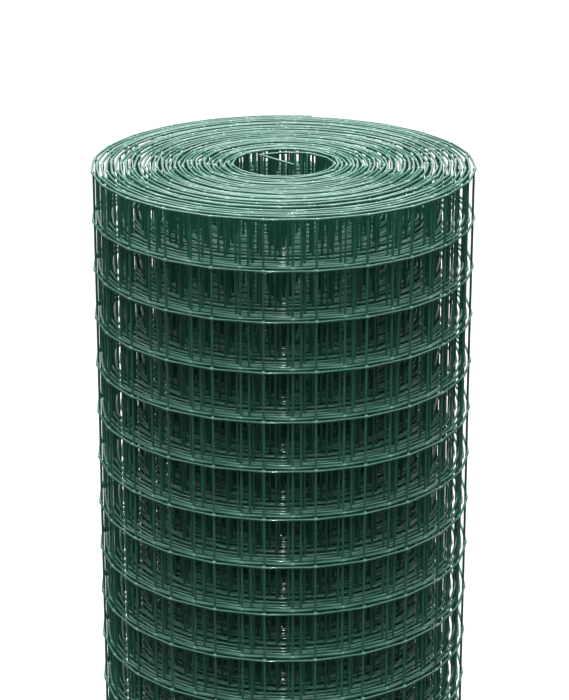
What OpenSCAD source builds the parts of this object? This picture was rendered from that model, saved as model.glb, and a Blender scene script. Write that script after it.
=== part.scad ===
// Roll of welded wire mesh fencing, plastic coated, standing on its end.
// The roll is one turned solid: a wound core with its bore, the end of every turn
// standing up as a round wire on both ends, and the mesh of the outermost turn in relief.

/* [Mesh] */
// Spacing of the line wires over the height of the fence, centre to centre
cell_h = 50; // [25:1:100]
// Spacing of the cross wires along the fence, centre to centre
cell_w = 50; // [25:1:100]
// Diameter of a line wire over its coating
line_d = 2.5; // [1.6:0.1:4]
// Diameter of a cross wire over its coating
cross_d = 2.5; // [1.6:0.1:4]
// Depth that the two coated wires sink into each other at a weld, half of it coat
weld_set = 0.9; // [0:0.05:1.2]

/* [Roll] */
// Number of cells over the height of the fence
cell_rows = 20; // [10:1:40]
// Number of turns
turns = 33; // [5:1:60]
// Clear diameter inside the innermost turn
bore_d = 98; // [60:1:200]
// Slack between one turn and the next
turn_slack = 0.15; // [0:0.05:1]

/* [Ends] */
// Depth to which the gaps between the turns are open
gap_depth = 12; // [4:1:20]
// Depth that the coating of the end wires is pressed flat by standing on it
foot_flat = 0.1; // [0.05:0.05:0.3]

/* [Hidden] */

// Sides of a drawn circle, for the turned form and for one wire
roll_sides = 96;
wire_sides = 24;

// The wound sheet: its thickness at a weld, and the step from turn to turn
sheet_t = line_d + cross_d - weld_set;
turn_pitch = sheet_t + turn_slack;

// The line wires lie outside the cross wires, which the bore clears
bore_r = bore_d / 2;
weld_step = (line_d + cross_d) / 2 - weld_set;
first_line_r = bore_r + cross_d / 2 + weld_step;
function line_r(turn) = first_line_r + turn * turn_pitch;
last_turn = turns - 1;
outer_line_r = line_r(last_turn);
outer_cross_r = outer_line_r - weld_step;

// The height, from foot to foot of the two end wires
foot_rise = line_d / 2 - foot_flat;
roll_h = cell_rows * cell_h + 2 * foot_rise;
function line_z(row) = foot_rise + row * cell_h;

// The cross wires of the outermost turn, which end inside the end wires
cross_count = round(2 * PI * outer_line_r / cell_w);
cross_step = 360 / cross_count;
cross_inset = line_d / 4;
// Turn of the first cross wire from the middle of the front, as a share of one cell
front_cell_share = 0.3;
front_angle = -90 - front_cell_share * cross_step;

// The outline of the roll from its bore outwards, cut off level at the two feet
module roll_outline() {
    intersection() {
        union() {
            core_outline();
            for (turn = [0 : last_turn - 1]) turn_outline(turn);
            outer_turn_outline();
            for (row = [1 : cell_rows - 1]) line_wire_outline(row);
        }
        translate([bore_r, 0]) square([outer_line_r + line_d - bore_r, roll_h]);
    }
}

// The wound core between the two open ends, out to the axes of the outermost cross wires
module core_outline() {
    translate([bore_r, gap_depth])
        square([outer_cross_r - bore_r, roll_h - 2 * gap_depth]);
}

// One turn: a wall as thick as a line wire, with a line wire along both of its edges
module turn_outline(turn) {
    inner_r = turn == 0 ? bore_r : line_r(turn) - line_d / 2;
    translate([inner_r, foot_rise])
        square([line_r(turn) + line_d / 2 - inner_r, roll_h - 2 * foot_rise]);
    end_wire_outlines(turn);
}

// The outermost turn: its end wires sit on the ends of its cross wires, against the turn within
module outer_turn_outline() {
    inner_r = line_r(last_turn - 1);
    translate([inner_r, foot_rise])
        square([outer_cross_r - inner_r, roll_h - 2 * foot_rise]);
    for (low_z = [foot_rise, roll_h - foot_rise - line_d / 2])
        translate([inner_r, low_z]) square([outer_line_r - inner_r, line_d / 2]);
    end_wire_outlines(last_turn);
}

module end_wire_outlines(turn) {
    for (z = [line_z(0), line_z(cell_rows)])
        translate([line_r(turn), z]) circle(d = line_d, $fn = wire_sides);
}

// A line wire round the outside, standing on the cross wires that it is welded to
module line_wire_outline(row) {
    translate([outer_line_r, line_z(row)]) circle(d = line_d, $fn = wire_sides);
    translate([outer_cross_r - cross_d / 2, line_z(row) - line_d / 2])
        square([outer_line_r - outer_cross_r + cross_d / 2, line_d]);
}

// The cross wires of the outermost turn, half sunk in the core
module cross_wires() {
    low_z = line_z(0) + cross_inset;
    for (i = [0 : cross_count - 1])
        rotate([0, 0, front_angle + i * cross_step])
            translate([outer_cross_r, 0, low_z])
                cylinder(d = cross_d, h = roll_h - 2 * low_z, $fn = wire_sides);
}

module mesh_roll() {
    color("#235b4c") {
        rotate_extrude($fn = roll_sides) roll_outline();
        cross_wires();
    }
}

mesh_roll();
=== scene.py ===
import math

import bpy
import numpy as np
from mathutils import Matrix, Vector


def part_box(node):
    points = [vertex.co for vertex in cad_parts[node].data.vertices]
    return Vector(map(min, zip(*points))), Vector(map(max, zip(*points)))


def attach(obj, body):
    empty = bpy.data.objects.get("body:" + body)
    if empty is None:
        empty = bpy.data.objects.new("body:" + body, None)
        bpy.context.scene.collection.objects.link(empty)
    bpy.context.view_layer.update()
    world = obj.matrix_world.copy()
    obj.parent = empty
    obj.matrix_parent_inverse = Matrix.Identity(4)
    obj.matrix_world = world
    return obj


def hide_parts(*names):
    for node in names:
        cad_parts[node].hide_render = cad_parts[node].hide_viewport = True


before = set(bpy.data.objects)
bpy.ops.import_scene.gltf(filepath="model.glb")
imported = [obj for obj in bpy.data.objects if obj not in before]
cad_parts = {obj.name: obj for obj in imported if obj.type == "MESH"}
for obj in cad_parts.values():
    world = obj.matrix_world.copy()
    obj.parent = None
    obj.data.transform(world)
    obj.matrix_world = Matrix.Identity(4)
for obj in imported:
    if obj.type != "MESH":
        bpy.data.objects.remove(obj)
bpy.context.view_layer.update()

# The winding. The sheet leaves the welding machine flat, and a slotted mandrel grips its first cell
# and winds it up. The stiff welds make every turn a polygon with a soft corner at each cross wire.
roll_low, roll_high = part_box("mesh_roll")
wire_r = 0.00125
cell = 0.05
outer_r = (roll_high.x - roll_low.x) / 2 - wire_r
full_turns = 33
inner_end_angle = math.radians(127)
outer_end_angle = math.radians(83.31)
wound_angle = inner_end_angle - outer_end_angle + full_turns * math.tau
corner_depth = 0.0011
uneven_depth = 0.0003

# The pitch from turn to turn grows a little tighter towards the middle. The outer end springs out of
# the roll, and the inner end into the bore.
outer_spring = 0.00325
outer_pitch = 0.0047566
pitch_loss = 0.000013594
inner_spring = 0.0088
inner_spring_angle = math.radians(150)

# Turns that sit loose, counted from the outside: the gap, how far the turns outside it have tipped
# down at the front and up at the back, and how much of both shows at the front and at the back.
loose_turns = (
    (1.26, 0.00077, 0.0012, 1.0, 0.2),
    (4.76, 0.00106, 0.0014, 1.0, 0.7),
    (7.26, 0.00021, 0.0010, 1.0, 0.5),
    (10.26, 0.00219, 0.0016, 1.0, 0.9),
    (14.76, 0.00103, 0.0010, 0.7, 0.4),
    (18.76, 0.00189, 0.0014, 1.0, 0.3),
    (25.26, 0.00047, 0.0008, 0.6, 0.8),
)
gap_at_sides = 0.1
gap_sharpness = 4
gap_reach = 3
gap_spread = 0.7

# The sheet also climbs and sinks a little as it is wound: the rate, size and start of each slow wave.
# About one turn in from its outer end it has dropped nearly to the floor.
lift_waves = (
    (0.113, 0.0003, 1.0),
    (0.287, 0.0007, 0.3),
    (0.461, 0.0003, 3.3),
    (1.19, 0.0001, 5.0),
)
mean_lift = 0.0015
dropped_turn = 1
drop_depth = 0.0014
drop_width = 0.35


def smooth(share):
    share = np.clip(share, 0, 1)
    return share * share * (3 - 2 * share)


def wound_place(turned):
    """Radius and lift of the sheet after it has turned that far from its inner end."""
    from_outside = (wound_angle - turned) / math.tau
    facing = -np.sin(inner_end_angle - turned)
    radius = outer_r + outer_spring - outer_pitch * from_outside + pitch_loss * from_outside**2
    radius = radius - inner_spring * smooth(1 - turned / inner_spring_angle)
    lift = mean_lift - drop_depth * np.exp(-(((from_outside - dropped_turn) / drop_width) ** 2))
    for turn, gap, tip, at_front, at_back in loose_turns:
        away = turn - from_outside
        step = np.tanh(away * gap_sharpness) * np.exp(-np.abs(away) / gap_reach) / 2
        front = at_front * np.clip(facing, 0, 1) ** gap_spread
        back = at_back * np.clip(-facing, 0, 1) ** gap_spread
        radius = radius + gap * step * (gap_at_sides + front + back)
        lift = lift - tip * step * (front - back)
    for rate, size, start in lift_waves:
        lift = lift + size * np.sin(rate * turned + start)
    return radius, lift


# The wound sheet is measured in fine steps, a little past its end, and shared out into whole cells.
fine_steps = 60000
angle_past_end = 0.05
turned_fine = np.linspace(0, wound_angle + angle_past_end, fine_steps)
radius_fine, _ = wound_place(turned_fine)
x_fine = radius_fine * np.cos(inner_end_angle - turned_fine)
y_fine = radius_fine * np.sin(inner_end_angle - turned_fine)
length_fine = np.concatenate([[0], np.cumsum(np.hypot(np.diff(x_fine), np.diff(y_fine)))])
wound_length = np.interp(wound_angle, turned_fine, length_fine)
last_cell = int(round(wound_length / cell))
cell_step = wound_length / last_cell


def sheet_place(at_cell, z):
    """Points on the line wires' axes, and the way out there, so many cells from the inner end."""
    at_cell, z = np.broadcast_arrays(at_cell, z)
    turned = np.interp(at_cell * cell_step, length_fine, turned_fine)
    radius, lift = wound_place(turned)
    full_depth = radius * (1 - np.cos(cell / radius / 2))
    across = at_cell - np.floor(at_cell)
    radius = radius + np.minimum(full_depth, corner_depth) * (2 / 3 - 4 * across * (1 - across))
    uneven = np.sin(0.9 * at_cell + 7 * z) * np.sin(0.23 * at_cell + 11 * z + 1)
    radius = radius + uneven_depth * uneven
    angle = inner_end_angle - turned
    out = np.stack([np.cos(angle), np.sin(angle), 0 * angle], -1)
    points = out * radius[..., None]
    points[..., 2] = z + lift
    return points, out


# The coat. Steel wire drawn through molten plastic: moss green, half glossy, a little thicker at the
# welds, which carry a painted highlight, with the faint ripple and dust of a roll that has stood in a
# yard.
class Socket:
    """A node's output, for shader sums written as expressions."""

    def __init__(self, tree, out):
        self.tree = tree
        self.out = out

    def node(self, kind, settings, sockets, out=0):
        new = self.tree.nodes.new(kind)
        for name, value in settings.items():
            setattr(new, name, value)
        for name, value in sockets.items():
            if isinstance(value, Socket):
                self.tree.links.new(value.out, new.inputs[name])
            else:
                new.inputs[name].default_value = value
        return Socket(self.tree, new.outputs[out])

    def math(self, kind, left, right):
        return self.node("ShaderNodeMath", {"operation": kind}, {0: left, 1: right})

    def __add__(self, other):
        return self.math("ADD", self, other)

    def __radd__(self, other):
        return self.math("ADD", other, self)

    def __sub__(self, other):
        return self.math("SUBTRACT", self, other)

    def __rsub__(self, other):
        return self.math("SUBTRACT", other, self)

    def __mul__(self, other):
        return self.math("MULTIPLY", self, other)

    def __rmul__(self, other):
        return self.math("MULTIPLY", other, self)

    def ramp(self, low, high):
        eased = {"interpolation_type": "SMOOTHSTEP"}
        return self.node("ShaderNodeMapRange", eased, {0: self, 1: low, 2: high})

    def mix(self, low, high):
        return self.node("ShaderNodeMix", {"data_type": "RGBA"}, {0: self, 6: low, 7: high}, 2)


def new_material(name):
    material = bpy.data.materials.new(name)
    material.use_nodes = True
    tree = material.node_tree
    shader = next(n for n in tree.nodes if n.type == "BSDF_PRINCIPLED")
    return material, tree, shader


dark_moss = (0.029, 0.172, 0.117, 1)
light_moss = (0.042, 0.218, 0.152, 1)
# A paler green painted at the welds, standing for the highlight on their beads.
weld_highlight_green = (0.2, 0.48, 0.4, 1)
weld_highlight_share = 0.6
dusty_green = (0.18, 0.3, 0.25, 1)
dust_share = 0.35
clean_roughness = 0.42
dust_roughness = 0.15

green_coat, tree, shader = new_material("green_coat")
spot = Socket(tree, tree.nodes.new("ShaderNodeTexCoord").outputs["Object"])
weld_highlight = spot.node("ShaderNodeAttribute", {"attribute_name": "weld_highlight"}, {}, "Fac")
broad = spot.node("ShaderNodeTexNoise", {}, {"Vector": spot, "Scale": 9, "Detail": 4})
ripple = spot.node("ShaderNodeTexNoise", {}, {"Vector": spot, "Scale": 420, "Detail": 2})
dust_grain = {"Vector": spot, "Scale": 60, "Detail": 6, "Roughness": 0.7}
dust = spot.node("ShaderNodeTexNoise", {}, dust_grain)
coat_green = broad.ramp(0.35, 0.65).mix(dark_moss, light_moss)
# Mixes in the painted highlight at the welds.
coat_green = (weld_highlight * weld_highlight_share).mix(coat_green, weld_highlight_green)
coat_green = (dust.ramp(0.55, 0.8) * dust_share).mix(coat_green, dusty_green)
rough = dust.ramp(0.4, 0.8) * dust_roughness + clean_roughness
bump = spot.node("ShaderNodeBump", {}, {"Height": ripple, "Strength": 0.06, "Distance": 0.0004})
tree.links.new(coat_green.out, shader.inputs["Base Color"])
tree.links.new(rough.out, shader.inputs["Roughness"])
tree.links.new(bump.out, shader.inputs["Normal"])
shader.inputs["Specular IOR Level"].default_value = 0.06
shader.inputs["Coat Weight"].default_value = 1
shader.inputs["Coat Roughness"].default_value = 0.08

# The line wires, coated steel, run the whole length of the sheet, one above the other, outside the
# cross wires. They are cut just past the last cross wire at the outer end. At the inner end each runs
# on into the bore, bent there by the mandrel that gripped it, and no two are bent quite alike.
cell_rows = 20
all_rows = np.arange(cell_rows + 1)
end_rows = all_rows[[0, -1]]
row_z = np.linspace(roll_low.z + wire_r, roll_high.z - wire_r, cell_rows + 1)
cap_reach = 0.5 * wire_r
cap_size = 0.65
outer_stub = 0.12
tail_length = 0.048
tail_heading = math.radians(-45)
tail_turn = np.random.default_rng(5).normal(0, 0.03, cell_rows + 1)
tail_slope = np.random.default_rng(6).normal(0, 0.012, cell_rows + 1)
tail_stations = np.array([1, 0.5, 0.05])[:, None] * tail_length
weld_reach = 0.05


def finished_piece(name, mesh, near):
    # Stores how much of the painted weld highlight each point takes.
    layer = mesh.attributes.new("weld_highlight", "FLOAT", "POINT")
    layer.data.foreach_set("value", near.astype(np.float32))
    mesh.polygons.foreach_set("use_smooth", [True] * len(mesh.polygons))
    mesh.materials.append(green_coat)
    mesh.update()
    piece = bpy.data.objects.new(name, mesh)
    bpy.context.scene.collection.objects.link(piece)
    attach(piece, "root")
    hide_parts("mesh_roll")


def past_end(end, neighbour):
    """The middle of the small ring that closes a wire, just past its end."""
    away = end - neighbour
    return end + away / np.linalg.norm(away, axis=2, keepdims=True) * cap_reach


def joined_tubes(name, points, sides, across, up, near):
    """One mesh of many wires with closed, rounded ends. points is wires x rings x 3."""
    first = past_end(points[:, :1], points[:, 1:2])
    last = past_end(points[:, -1:], points[:, -2:-1])
    points = np.concatenate([first, points, last], 1)
    across = np.concatenate([across[:, :1], across, across[:, -1:]], 1)
    up = np.concatenate([up[:, :1], up, up[:, -1:]], 1)
    near = np.concatenate([near[:, :1], near, near[:, -1:]], 1)
    wires, count, _ = points.shape
    sizes = np.full(count, wire_r)
    sizes[[0, -1]] *= cap_size
    ring = np.arange(sides) / sides * math.tau
    rings = points[:, :, None] + sizes[None, :, None, None] * (
        np.cos(ring)[:, None] * across[:, :, None] + np.sin(ring)[:, None] * up[:, :, None]
    )
    index = np.arange(wires * count * sides).reshape(wires, count, sides)
    beside = np.roll(index, -1, 2)
    quads = [index[:, :-1], beside[:, :-1], beside[:, 1:], index[:, 1:]]
    faces = np.stack(quads, -1).reshape(-1, 4).tolist()
    faces += index[:, 0, ::-1].tolist() + index[:, -1].tolist()
    mesh = bpy.data.meshes.new(name)
    mesh.from_pydata(rings.reshape(-1, 3).tolist(), [], faces)
    finished_piece(name, mesh, np.repeat(near.reshape(-1), sides))


def line_wires(name, first, last, rows, stations, sides):
    at = np.append((np.arange(first, last)[:, None] + np.array(stations)).reshape(-1), last)
    if last == last_cell:
        at = np.append(at, last + outer_stub)
    wires = []
    for row in rows:
        points, _ = sheet_place(at, row_z[row])
        if first == 0:
            heading = tail_heading + tail_turn[row]
            way = np.array([math.cos(heading), math.sin(heading), tail_slope[row]])
            points = np.concatenate([points[0] + way * tail_stations, points])
        wires.append(points)
    points = np.array(wires)
    along = np.gradient(points, axis=1)
    along[..., 2] = 0
    along /= np.linalg.norm(along, axis=2, keepdims=True)
    across = np.stack([-along[..., 1], along[..., 0], 0 * along[..., 0]], -1)
    up = np.broadcast_to(np.array([0.0, 0, 1]), points.shape)
    # How close each ring lies to a weld, which sets the painted highlight there.
    near = np.exp(-((np.minimum(at % 1, 1 - at % 1) / weld_reach) ** 2))
    near = np.concatenate([np.zeros(points.shape[1] - len(at)), near])
    near = np.broadcast_to(near, points.shape[:2])
    joined_tubes(name, points, sides, across, up, near)


outer_cell_count = 50
outer_first = last_cell - outer_cell_count
cornered = (0, 0.06, 0.5, 0.94)
plain = (0, 0.5)
line_wires("outer_line_wires", outer_first, last_cell, all_rows, cornered, sides=8)
line_wires("end_line_wires", 0, outer_first, end_rows, cornered, sides=8)
line_wires("inner_line_wires_low", 0, outer_first, all_rows[1:10], plain, sides=6)
line_wires("inner_line_wires_high", 0, outer_first, all_rows[10:20], plain, sides=6)

# The cross wires are of the same coated steel. They stand upright inside the line wires, one to a
# cell, welded at every crossing and cut level with the end wires. Each sways a little between its
# welds, and those of the inner turns sway more.
weld_step = 0.0016


def cross_wires(name, cells, sides, between, bow):
    level = np.interp(np.arange(0, cell_rows + between / 2, between), all_rows, row_z)
    points, out = sheet_place(cells[:, None].astype(float), level[None, :])
    along = np.stack([out[..., 1], -out[..., 0], 0 * out[..., 0]], -1)
    sway = bow * np.sin(cells * 2.7)[:, None] * np.sin(level * 4 + cells[:, None] * 1.9)
    points = points - out * weld_step + along * sway[..., None]
    joined_tubes(name, points, sides, along, out, np.zeros(points.shape[:2]))


outer_cells = np.arange(outer_first, last_cell + 1)
inner_cells = np.arange(0, outer_first)
cross_wires("outer_cross_wires", outer_cells, sides=10, between=0.5, bow=0.0003)
cross_wires("inner_cross_wires", inner_cells, sides=6, between=1, bow=0.001)

# The welds. The coat runs into the corners where two wires are welded and sets there as a small bead,
# painted pale as a highlight. The beads on the two ends are lower, and stay clear of the floor.
bead_along = 0.0022
bead_out = 0.0022
bead_rise = 0.0024
end_bead_rise = 0.0015
# How much painted highlight the beads take, less on the beads of the two ends.
bead_highlight = 1.5
end_bead_highlight = 1
bpy.ops.mesh.primitive_ico_sphere_add(subdivisions=1, radius=1)
bead = bpy.context.object
bead_points = np.array([v.co for v in bead.data.vertices])
bead_faces = np.array([p.vertices for p in bead.data.polygons])
bpy.data.objects.remove(bead)


def weld_beads(name, cells, rows):
    at, row = (v.reshape(-1) for v in np.meshgrid(cells, rows, indexing="ij"))
    points, out = sheet_place(at.astype(float), row_z[row])
    along = np.stack([out[:, 1], -out[:, 0], 0 * out[:, 0]], -1)
    centres = points - out * weld_step * 0.5
    at_end = (row == 0) | (row == cell_rows)
    rise = np.where(at_end, end_bead_rise, bead_rise)[:, None, None]
    corners = centres[:, None] + (
        bead_points[:, :1] * bead_along * along[:, None]
        + bead_points[:, 1:2] * bead_out * out[:, None]
        + bead_points[:, 2:] * rise * np.array([0, 0, 1])
    )
    faces = (np.arange(len(at)) * len(bead_points))[:, None, None] + bead_faces
    mesh = bpy.data.meshes.new(name)
    mesh.from_pydata(corners.reshape(-1, 3).tolist(), [], faces.reshape(-1, 3).tolist())
    # The painted highlight on each bead.
    highlight_share = np.where(at_end, end_bead_highlight, bead_highlight)
    finished_piece(name, mesh, np.repeat(highlight_share, len(bead_points)))


bore_cells = inner_cells[:8]
weld_beads("outer_weld_beads", outer_cells, all_rows)
weld_beads("end_weld_beads", inner_cells, end_rows)
weld_beads("inner_weld_beads", bore_cells, all_rows[1:-1])

# The floor of a plain studio: pale, matt and level. The camera sees it white, with the roll's shadow
# on it. It throws little light back, because the real roll's cells are dark inside.
floor_width = 60
floor_seen = (0.65, 0.65, 0.65, 1)
floor_thrown_back = (0.08, 0.08, 0.08, 1)
bpy.ops.mesh.primitive_plane_add(size=floor_width, location=(0, 0, roll_low.z))
floor = bpy.context.object
floor.name = "floor"
pale_floor, tree, shader = new_material("pale_floor")
shader.inputs["Roughness"].default_value = 1
shader.inputs["Specular IOR Level"].default_value = 0
camera_ray = Socket(tree, tree.nodes.new("ShaderNodeLightPath").outputs["Is Camera Ray"])
floor_colour = camera_ray.mix(floor_thrown_back, floor_seen)
tree.links.new(floor_colour.out, shader.inputs["Base Color"])
floor.data.materials.append(pale_floor)

# The light. A soft box hangs overhead in front and a brighter one behind, with a pale backdrop.
# Pale walls at both sides show only in the coat's gloss, and the camera sees all of it as white.
front_level = 3.9
back_level = 7.5
backdrop_level = 1.2
wall_level = 2.4
room_level = 0.02
world = bpy.data.worlds.new("studio")
bpy.context.scene.world = world
world.use_nodes = True
tree = world.node_tree
background = tree.nodes["Background"]
background.inputs["Color"].default_value = (1, 1, 1, 1)
light_path = tree.nodes.new("ShaderNodeLightPath")
camera_ray = Socket(tree, light_path.outputs["Is Camera Ray"])
gloss_ray = Socket(tree, light_path.outputs["Is Glossy Ray"])
toward = Socket(tree, tree.nodes.new("ShaderNodeTexCoord").outputs["Generated"])
either_side = toward.node("ShaderNodeVectorMath", {"operation": "ABSOLUTE"}, {0: toward})


def soft_box(way, centre):
    """Bright round a direction, with a soft edge."""
    dot_product = {"operation": "DOT_PRODUCT"}
    return way.node("ShaderNodeVectorMath", dot_product, {0: way, 1: centre}, 1).ramp(0.85, 0.95)


front_box = soft_box(toward, (0, -0.42, 0.907))
back_box = soft_box(toward, (0, 0.57, 0.82))
side_walls = soft_box(either_side, (0.69, 0.26, 0.67))
backdrop = toward.node("ShaderNodeSeparateXYZ", {}, {0: toward}, 1).ramp(0.8, 0.97)
studio_light = gloss_ray * side_walls * wall_level + front_box * front_level + back_box * back_level
studio_light = studio_light + backdrop * backdrop_level + room_level
strength = camera_ray + (1 - camera_ray) * studio_light
tree.links.new(strength.out, background.inputs["Strength"])

# A small lamp stands by the camera. It lights nothing by itself and shows only in the coat's gloss,
# as the sharp glints on the wires that face the camera.
top_z = row_z[-1]
lamp_tilt = 22
lamp = bpy.data.objects.new("camera_lamp", bpy.data.lights.new("camera_lamp", "AREA"))
lamp.data.shape = "DISK"
lamp.data.size = 0.04
lamp.data.energy = 14
lamp.visible_diffuse = False
lamp.location = (0.02, -2.4, top_z + 0.75)
lamp.rotation_euler = (math.radians(90 - lamp_tilt), 0, 0)
bpy.context.scene.collection.objects.link(lamp)

# The camera stands where the photograph was taken from, in front of the roll and above its upper end,
# and looks down at it. Its focal length is given in pixels of a photograph 700 high.
focal_pixels = 2505.45
photo_height = 700
sensor_size = 36
camera_tilt = 19.685
camera = bpy.data.objects.new("camera", bpy.data.cameras.new("camera"))
camera.data.lens = focal_pixels / photo_height * sensor_size
camera.data.sensor_width = sensor_size
camera.location = (0, -2.3932, top_z + 0.6624)
camera.rotation_euler = (math.radians(90 - camera_tilt), 0, 0)
bpy.context.scene.collection.objects.link(camera)
bpy.context.scene.camera = camera
bpy.context.scene.view_settings.view_transform = "Standard"
